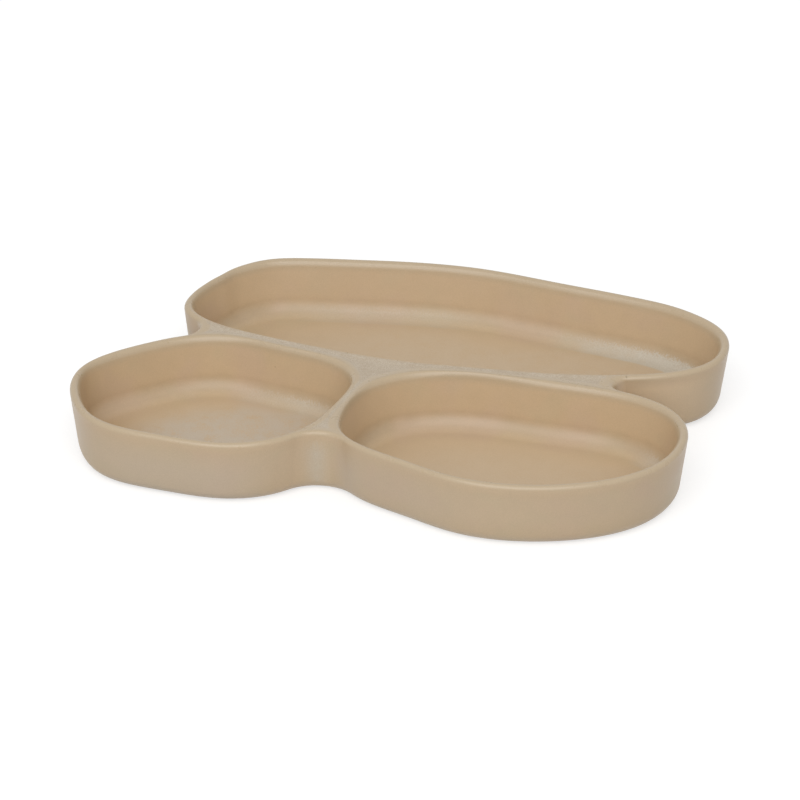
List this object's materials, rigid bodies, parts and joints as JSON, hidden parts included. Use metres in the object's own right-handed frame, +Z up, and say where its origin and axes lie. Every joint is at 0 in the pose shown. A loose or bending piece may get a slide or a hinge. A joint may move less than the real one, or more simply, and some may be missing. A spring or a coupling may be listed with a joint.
{
  "type": "snack bowl",
  "caption": "Low stoneware snack dish: pebble-shaped bowls with steep walls and rounded lips, joined by a flat web, for serving nuts, olives or dips side by side.",
  "frame": {"origin": "on the table, under the middle of the dish's bounding box", "axes": "+X along the long bowl towards its narrower end, -Y towards the other two bowls, +Z up"},
  "size_m": [0.3102, 0.2114, 0.0344],
  "materials": {
    "glazed_stoneware": "satin sand-coloured glaze"
  },
  "bodies": {
    "root": {"long_bowl": "glazed_stoneware", "left_bowl": "glazed_stoneware", "right_bowl": "glazed_stoneware", "joining_web": "glazed_stoneware"}
  },
  "joints": []
}
